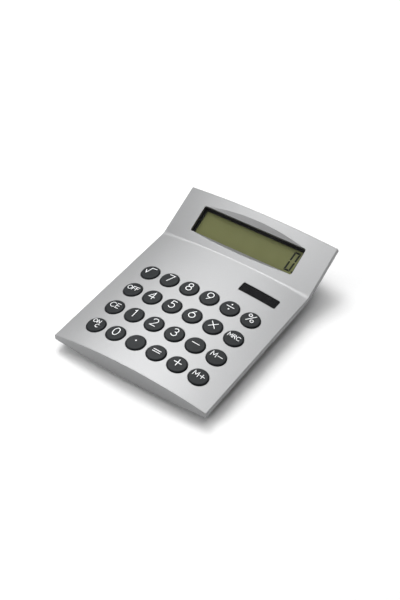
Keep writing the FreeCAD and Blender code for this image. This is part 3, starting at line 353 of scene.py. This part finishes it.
def solar_cell(name):
    """Near-black amorphous silicon, faintly streaked."""
    material, tree, shader = new_material(name)
    vector = coordinates(tree, scale=(1, 6, 1))
    streak = noise(tree, vector, 3 * MM)
    colour = varied(tree, streak, (0.004, 0.004, 0.005), (0.009, 0.008, 0.010))
    tree.links.new(colour, shader.inputs["Base Color"])
    tree.links.new(varied(tree, streak, 0.18, 0.28), shader.inputs["Roughness"])
    shader.inputs["Specular IOR Level"].default_value = 0.1
    bump(tree, shader, streak, strength=0.05, distance=0.01 * MM)
    return material


def backdrop_paper(name):
    """Plain matt white paper."""
    material, tree, shader = new_material(name)
    fibre = noise(tree, coordinates(tree), 1.5 * MM)
    colour = varied(tree, fibre, (0.88, 0.88, 0.88), (0.90, 0.90, 0.90))
    tree.links.new(colour, shader.inputs["Base Color"])
    shader.inputs["Roughness"].default_value = 0.9
    shader.inputs["Specular IOR Level"].default_value = 0.1
    return material


# By the record's material slot. For a moulded one: colour, roughness, grain and its depth.
MATERIALS = {
    "silver_case": metallic_paint("silver_paint", (0.300, 0.302, 0.305)),
    "grey_cover": moulded("grey_abs", (0.22, 0.225, 0.235), 0.55, 0.35 * MM, 0.06 * MM),
    "foot_rubber": moulded("foot_rubber", (0.022, 0.022, 0.024), 0.75, 0.3 * MM, 0.05 * MM),
    "key_rubber": key_rubber("key_rubber"),
    "black_plastic": moulded(
        "black_plastic", (0.006, 0.006, 0.0065), 0.5, 0.3 * MM, 0.03 * MM, gloss=0.25),
    "clear_pane": clear_acrylic(
        "clear_acrylic", (0.10, 0.11, 0.10), alpha_low=0.02, alpha_high=0.15, roughness=0.08),
    "lcd": lcd_glass("lcd_glass"),
    "reflector_film": brushed_metal("reflector_film", (0.62, 0.62, 0.58), 0.35, (1, 12, 1)),
    "flat_cable": flat_cable("flat_cable"),
    "tinted_pane": tinted_acrylic("tinted_acrylic"),
    "solar_glass": solar_cell("solar_cell"),
    "wire_red": moulded("red_insulation", (0.42, 0.012, 0.010), 0.4, 0.5 * MM, 0.02 * MM),
    "wire_black": moulded("black_insulation", (0.012, 0.012, 0.012), 0.4, 0.5 * MM, 0.02 * MM),
    "circuit_board": circuit_board("circuit_board"),
    "epoxy": moulded("black_epoxy", (0.010, 0.010, 0.010), 0.2, 1.2 * MM, 0.05 * MM),
    "capacitor_sleeve": moulded("blue_sleeve", (0.012, 0.025, 0.16), 0.25, 0.6 * MM, 0.02 * MM),
    "silicone": moulded("grey_silicone", (0.50, 0.50, 0.47), 0.55, 0.5 * MM, 0.03 * MM),
    "carbon_rubber": moulded("carbon_rubber", (0.010, 0.010, 0.010), 0.8, 0.2 * MM, 0.03 * MM),
    "plated_steel": brushed_metal("plated_steel", (0.56, 0.56, 0.55), 0.28, (1, 1, 8)),
    "battery_steel": brushed_metal("battery_steel", (0.66, 0.65, 0.62), 0.2, (8, 1, 1)),
}
INK = printed_ink("legend_ink")
SEGMENT = lcd_segment("lcd_segment")


def dress_nodes():
    """Give every CAD node the material of its slot."""
    for part in frame["record"]["subparts"]:
        data = frame["nodes"][part["node"]].data
        data.materials.clear()
        data.materials.append(MATERIALS[part["material_slot"]])


# ---------------------------------------------------------------- surfaces that the prints lie on
UPWARD = 0.2              # least upward part of a normal that counts as facing up
RAY_START = 30            # height above the middle that a point drops from, in millimetres


def upward_normal(node):
    """The normal of the largest flat area that faces upward on a node."""
    data = frame["nodes"][node].data
    totals = {}
    for face in data.polygons:
        if face.normal.z > UPWARD:
            facing = tuple(round(c, 2) for c in face.normal)
            area, total = totals.get(facing, (0.0, Vector()))
            totals[facing] = (area + face.area, total + face.normal * face.area)
    return max(totals.values(), key=lambda entry: entry[0])[1].normalized()


def middle_of(node):
    low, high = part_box(node)
    return (low + high) / 2


class Surface:
    """Drops points of a plan, in millimetres about a middle, onto a node's upper surface."""

    def __init__(self, node, middle, up):
        data = frame["nodes"][node].data
        self.tree = BVHTree.FromPolygons(
            [vertex.co for vertex in data.vertices],
            [tuple(face.vertices) for face in data.polygons])
        self.middle = middle
        self.up = up
        self.along = up.cross(ACROSS).normalized()

    def at(self, across, along, rise):
        """The surface's point under that place of the plan, raised by so many millimetres."""
        plan = self.middle + (ACROSS * across + self.along * along) * MM
        start = plan + self.up * RAY_START * MM
        hit = self.tree.ray_cast(start, -self.up)[0]
        if hit is None:
            raise ValueError(f"a print runs off its surface at {across:.2f}, {along:.2f}")
        return hit + self.up * rise * MM


# ---------------------------------------------------------------- strokes and prints
# In millimetres and degrees.
STEP = 0.6                # longest run of a stroke between points
ARC_STEP = 12             # largest angle between points of an arc
ARC_LEAST = 4             # fewest steps of an arc
CAP_STEPS = 6             # steps round a stroke's end
MITRE_LEAST = 0.5         # keeps a sharp corner from reaching far out
CLOSED_WITHIN = 1e-6
INK_RISE = 0.02
INK_SINK = 0.05
LAYER_RISE = 0.002        # of each stroke over the one before, where they cross


def line(*points):
    """A run of straight lines, divided so that it follows a curved surface."""
    run = [Vector(points[0])]
    for first, second in zip(points, points[1:]):
        first, second = Vector(first), Vector(second)
        count = max(1, math.ceil((second - first).length / STEP))
        run += [first.lerp(second, i / count) for i in range(1, count + 1)]
    return run


def arc(centre, radii, start, end):
    """Part of an ellipse, from one angle to another."""
    count = max(ARC_LEAST, math.ceil(abs(end - start) / ARC_STEP))
    angles = [math.radians(start + (end - start) * i / count) for i in range(count + 1)]
    return [
        Vector((centre[0] + radii[0] * math.cos(a), centre[1] + radii[1] * math.sin(a)))
        for a in angles]


def ring(centre, radii):
    return arc(centre, radii, 0, 360)


def is_closed(run):
    return len(run) > 3 and (run[0] - run[-1]).length < CLOSED_WITHIN


def side_normals(run, closed):
    """The offset direction at each point, long enough to keep the stroke's width at a corner."""
    count = len(run)
    found = []
    for i in range(count):
        before = run[i] - run[i - 1] if i > 0 or closed else run[1] - run[0]
        after = run[(i + 1) % count] - run[i] if i < count - 1 or closed else run[-1] - run[-2]
        before, after = before.normalized(), after.normalized()
        first = Vector((-before.y, before.x))
        mitre = (first + Vector((-after.y, after.x))).normalized()
        found.append(mitre / max(MITRE_LEAST, mitre.dot(first)))
    return found


def round_end(point, away, radius):
    """The half circle that closes a stroke, from its left side to its right as seen along it."""
    start = math.atan2(away.y, away.x) + math.pi / 2
    angles = [start - math.pi * i / CAP_STEPS for i in range(1, CAP_STEPS)]
    return [point + Vector((math.cos(a), math.sin(a))) * radius for a in angles]


class Print:
    """A thin layer of ink or film on a surface, as one closed mesh."""

    def __init__(self, surface):
        self.surface = surface
        self.mesh = bmesh.new()
        self.layers = 0

    def pair(self, point, rise):
        """A point on the print's top and the one under it, sunk into the surface."""
        top = self.mesh.verts.new(self.surface.at(point.x, point.y, rise))
        return top, self.mesh.verts.new(self.surface.at(point.x, point.y, -INK_SINK))

    def patch(self, faces, points, rims):
        """Top and bottom faces over numbered points, and walls round the rims."""
        rise = INK_RISE + LAYER_RISE * self.layers
        self.layers += 1
        pairs = [self.pair(point, rise) for point in points]
        for face in faces:
            self.mesh.faces.new([pairs[i][0] for i in face])
            self.mesh.faces.new([pairs[i][1] for i in reversed(face)])
        for rim in rims:
            for i, j in zip(rim, rim[1:] + rim[:1]):
                self.mesh.faces.new([pairs[i][1], pairs[j][1], pairs[j][0], pairs[i][0]])

    def stroke(self, run, width):
        """A line of even width along a run: a ring if it is closed, else with round ends."""
        closed = is_closed(run)
        run = run[:-1] if closed else run
        half = width / 2
        normals = side_normals(run, closed)
        left = [point + normal * half for point, normal in zip(run, normals)]
        right = [point - normal * half for point, normal in zip(run, normals)]
        count = len(run)
        points = left + right
        steps = range(count if closed else count - 1)
        faces = [(i, count + i, count + (i + 1) % count, (i + 1) % count) for i in steps]
        if closed:
            rims = [list(range(count))[::-1], list(range(count, 2 * count))]
            self.patch(faces, points, rims)
            return
        start_cap = round_end(run[0], run[0] - run[1], half)
        end_cap = round_end(run[-1], run[-1] - run[-2], half)
        first = len(points)
        points += end_cap + start_cap
        ends = list(range(first, first + len(end_cap)))
        starts = list(range(first + len(end_cap), len(points)))
        faces.append([count - 1] + [2 * count - 1] + ends[::-1])
        faces.append([count] + [0] + starts[::-1])
        right_side, left_side = list(range(count, 2 * count)), list(range(count))
        self.patch(faces, points, [right_side + ends[::-1] + left_side[::-1] + starts[::-1]])

    def area(self, outline):
        """A filled outline."""
        points = [Vector(point) for point in outline]
        around = list(range(len(points)))
        self.patch([around], points, [around])

    def finish(self, name, material, body):
        """Make the print an object that moves with a body."""
        data = bpy.data.meshes.new(name)
        bmesh.ops.recalc_face_normals(self.mesh, faces=self.mesh.faces)
        self.mesh.to_mesh(data)
        self.mesh.free()
        data.materials.append(material)
        thing = bpy.data.objects.new(name, data)
        bpy.context.scene.collection.objects.link(thing)
        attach(thing, body)


# ---------------------------------------------------------------- key legends
# Signs and digits are drawn about their own middle, in millimetres.
SIGN_WIDTH = 0.46
WORD_WIDTH = 0.38
DOT = 0.22
SIGNS = {
    "root": [line((-3.3, 0.1), (-2.1, -2.3), (-0.5, 2.45), (2.5, 2.45))],
    "7": [line((-1.75, 2.7), (1.75, 2.7), (-0.8, -2.75))],
    "8": [ring((0, 1.45), (1.35, 1.3)), ring((0, -1.35), (1.65, 1.5))],
    "9": [ring((0, 0.95), (1.85, 1.85)), line((1.45, -0.2), (-0.75, -2.75))],
    "divide": [line((-2.35, 0), (2.35, 0)), ring((0, 2.0), (DOT, DOT)), ring((0, -2.0), (DOT, DOT))],
    "percent": [
        ring((-1.35, 1.7), (0.95, 0.95)), ring((1.35, -1.7), (0.95, 0.95)),
        line((2.0, 2.7), (-2.0, -2.7))],
    "4": [line((0.75, -2.75), (0.75, 2.7), (-1.95, -1.2), (1.95, -1.2))],
    "5": [line((1.5, 2.7), (-1.0, 2.7), (-1.2, 0.35)), arc((-0.1, -1.0), (1.75, 1.75), 128, -145)],
    "6": [ring((0, -0.95), (1.85, 1.85)), line((-1.45, 0.2), (0.75, 2.75))],
    "multiply": [line((-2.0, 2.0), (2.0, -2.0)), line((-2.0, -2.0), (2.0, 2.0))],
    "1": [line((-0.85, 2.0), (0.1, 2.75), (0.1, -2.75))],
    "2": [arc((0, 1.15), (1.6, 1.55), 165, -38) + line((-1.7, -2.7), (1.8, -2.7))],
    "3": [arc((-0.05, 1.42), (1.4, 1.3), 150, -85), arc((-0.05, -1.25), (1.65, 1.5), 95, -150)],
    "minus": [line((-2.3, 0), (2.3, 0))],
    "0": [ring((0, 0), (1.75, 2.75))],
    "point": [ring((-0.3, 0.1), (DOT, DOT))],
    "equals": [line((-2.4, 0.7), (2.4, 0.7)), line((-2.4, -0.7), (2.4, -0.7))],
    "plus": [line((-2.3, 0), (2.3, 0)), line((0, -2.3), (0, 2.3))],
}
# Letters stand on a line, with a capital's height of 1: (width, strokes).
LETTERS = {
    "O": (0.95, [ring((0.475, 0.5), (0.475, 0.5))]),
    "F": (0.60, [line((0, 0), (0, 1), (0.6, 1)), line((0, 0.53), (0.5, 0.53))]),
    "C": (0.85, [arc((0.475, 0.5), (0.475, 0.5), 48, 312)]),
    "E": (0.60, [line((0.6, 0), (0, 0), (0, 1), (0.6, 1)), line((0, 0.53), (0.52, 0.53))]),
    "M": (0.95, [line((0, 0), (0.07, 1), (0.475, 0.28), (0.88, 1), (0.95, 0))]),
    "R": (0.62, [
        line((0, 0), (0, 1), (0.34, 1)) + arc((0.34, 0.76), (0.26, 0.24), 90, -90)[1:]
        + line((0.34, 0.52), (0, 0.52))[1:],
        line((0.3, 0.52), (0.62, 0))]),
    "N": (0.75, [line((0, 0), (0, 1), (0.75, 0), (0.75, 1))]),
    "-": (0.90, [line((0, 0.5), (0.9, 0.5))]),
    "+": (0.90, [line((0, 0.5), (0.9, 0.5)), line((0.45, 0.05), (0.45, 0.95))]),
}
LETTER_GAP = 0.24
# Words by key: (text, capital height, middle).
WORDS = {
    "off": [("OFF", 2.8, (0, -0.1))],
    "memory_recall": [("MRC", 2.6, (0, 0))],
    "clear_entry": [("CE", 3.6, (-0.2, 0.1))],
    "memory_minus": [("M-", 3.3, (0.1, 0))],
    "memory_plus": [("M+", 3.3, (0.1, 0))],
    "on_clear": [("ON", 2.4, (-0.9, 1.55)), ("C", 2.4, (1.35, -1.65))],
}
LEGEND_MIDDLE = Vector((-0.2, 0.85))     # of a legend, from its key's middle


def word_runs(text, height, middle):
    """The strokes of a word about its middle."""
    width = sum(LETTERS[letter][0] for letter in text) + LETTER_GAP * (len(text) - 1)
    place = -width / 2
    runs = []
    for letter in text:
        advance, strokes = LETTERS[letter]
        runs += [[
            Vector(((point.x + place) * height + middle[0], (point.y - 0.5) * height + middle[1]))
            for point in run] for run in strokes]
        place += advance + LETTER_GAP
    return runs


def make_legends():
    """Print every key's sign or words on it."""
    for body in frame["bodies"]:
        if not body.startswith("key_"):
            continue
        name = body[len("key_"):]
        layer = Print(Surface(body, middle_of(body), KEYPAD_UP))
        if name in SIGNS:
            runs, width = SIGNS[name], SIGN_WIDTH
        else:
            runs, width = [run for word in WORDS[name] for run in word_runs(*word)], WORD_WIDTH
        for run in runs:
            layer.stroke([point + LEGEND_MIDDLE for point in run], width)
        layer.finish(f"legend_{name}", INK, body)


# ---------------------------------------------------------------- the display's digit
# In millimetres, from the middle of the display's glass.
DIGIT_WIDTH = 4.3
DIGIT_HEIGHT = 13.0
DIGIT_LEAN = math.tan(math.radians(4.8))
DIGIT_PLACE = Vector((28.0, -6.4))    # its lower left corner
SEGMENT_WIDTH = 1.15
SEGMENT_GAP = 0.16
POINT_PLACE = Vector((33.5, -6.0))
POINT_RADIUS = 0.5
POINT_SIDES = 16


def segment_outlines():
    """The six lit segments of a nought, with mitred corners and a break half way up."""
    width, height, thick, gap = DIGIT_WIDTH, DIGIT_HEIGHT, SEGMENT_WIDTH, SEGMENT_GAP
    half = height / 2
    top = [
        (gap, height), (width - gap, height),
        (width - thick - gap, height - thick), (thick + gap, height - thick)]
    upper = [
        (0, height - gap), (thick, height - thick - gap), (thick, half + thick / 2 + gap),
        (thick / 2, half + gap), (0, half + thick / 3 + gap)]

    def flip(outline):
        return [(x, height - y) for x, y in reversed(outline)]

    def mirror(outline):
        return [(width - x, y) for x, y in reversed(outline)]

    return [top, flip(top), upper, flip(upper), mirror(upper), flip(mirror(upper))]


def make_display():
    """Lay a nought and its decimal point on the display's glass."""
    digit = Print(Surface("lcd_glass", middle_of("lcd_glass"), upward_normal("lcd_glass")))
    for outline in segment_outlines():
        digit.area([(x + y * DIGIT_LEAN + DIGIT_PLACE.x, y + DIGIT_PLACE.y) for x, y in outline])
    angles = [i * math.tau / POINT_SIDES for i in range(POINT_SIDES)]
    digit.area([POINT_PLACE + Vector((math.cos(a), math.sin(a))) * POINT_RADIUS for a in angles])
    digit.finish("display_digit", SEGMENT, "case")


# ---------------------------------------------------------------- stage, light and camera
def make_floor():
    data = bpy.data.meshes.new("floor")
    half = FLOOR_SIZE / 2
    corners = [(-half, -half, 0), (half, -half, 0), (half, half, 0), (-half, half, 0)]
    data.from_pydata(corners, [], [(0, 1, 2, 3)])
    data.materials.append(backdrop_paper("backdrop_paper"))
    floor = bpy.data.objects.new("floor", data)
    bpy.context.scene.collection.objects.link(floor)


def aim(thing, target):
    thing.rotation_mode = "QUATERNION"
    thing.rotation_quaternion = (target - thing.location).to_track_quat("-Z", "Y")


def direction(azimuth, elevation):
    """Towards a place round the object: azimuth 0 is at the front and 90 on the right."""
    around, above = math.radians(azimuth), math.radians(elevation)
    return Vector((
        math.sin(around) * math.cos(above), -math.cos(around) * math.cos(above), math.sin(above)))


def softbox(name, azimuth, elevation, size, power):
    light = bpy.data.lights.new(name, "AREA")
    light.shape = "SQUARE"
    light.size = size
    light.energy = power
    thing = bpy.data.objects.new(name, light)
    thing.location = direction(azimuth, elevation) * SOFTBOX_DISTANCE
    aim(thing, Vector((0, 0, 0)))
    bpy.context.scene.collection.objects.link(thing)


def make_world():
    world = bpy.data.worlds.new("studio")
    world.use_nodes = True
    background = world.node_tree.nodes["Background"]
    background.inputs["Color"].default_value = (*WORLD_COLOUR, 1)
    background.inputs["Strength"].default_value = WORLD_STRENGTH
    bpy.context.scene.world = world


def make_camera():
    back = direction(CAMERA_AZIMUTH, CAMERA_ELEVATION)
    data = bpy.data.cameras.new("camera")
    data.lens = CAMERA_LENS
    data.sensor_fit = "VERTICAL"
    data.sensor_height = CAMERA_SENSOR
    camera = bpy.data.objects.new("camera", data)
    camera.location = CAMERA_TARGET + back * CAMERA_DISTANCE
    camera.rotation_mode = "QUATERNION"
    roll = Matrix.Rotation(math.radians(CAMERA_ROLL), 4, "Z").to_quaternion()
    camera.rotation_quaternion = (-back).to_track_quat("-Z", "Y") @ roll
    bpy.context.scene.collection.objects.link(camera)
    bpy.context.scene.camera = camera


bpy.context.scene.view_settings.view_transform = "Standard"
make_camera()
make_world()
for light in SOFTBOXES:
    softbox(*light)
make_floor()
dress_nodes()
make_legends()
make_display()

bpy.context.view_layer.update()
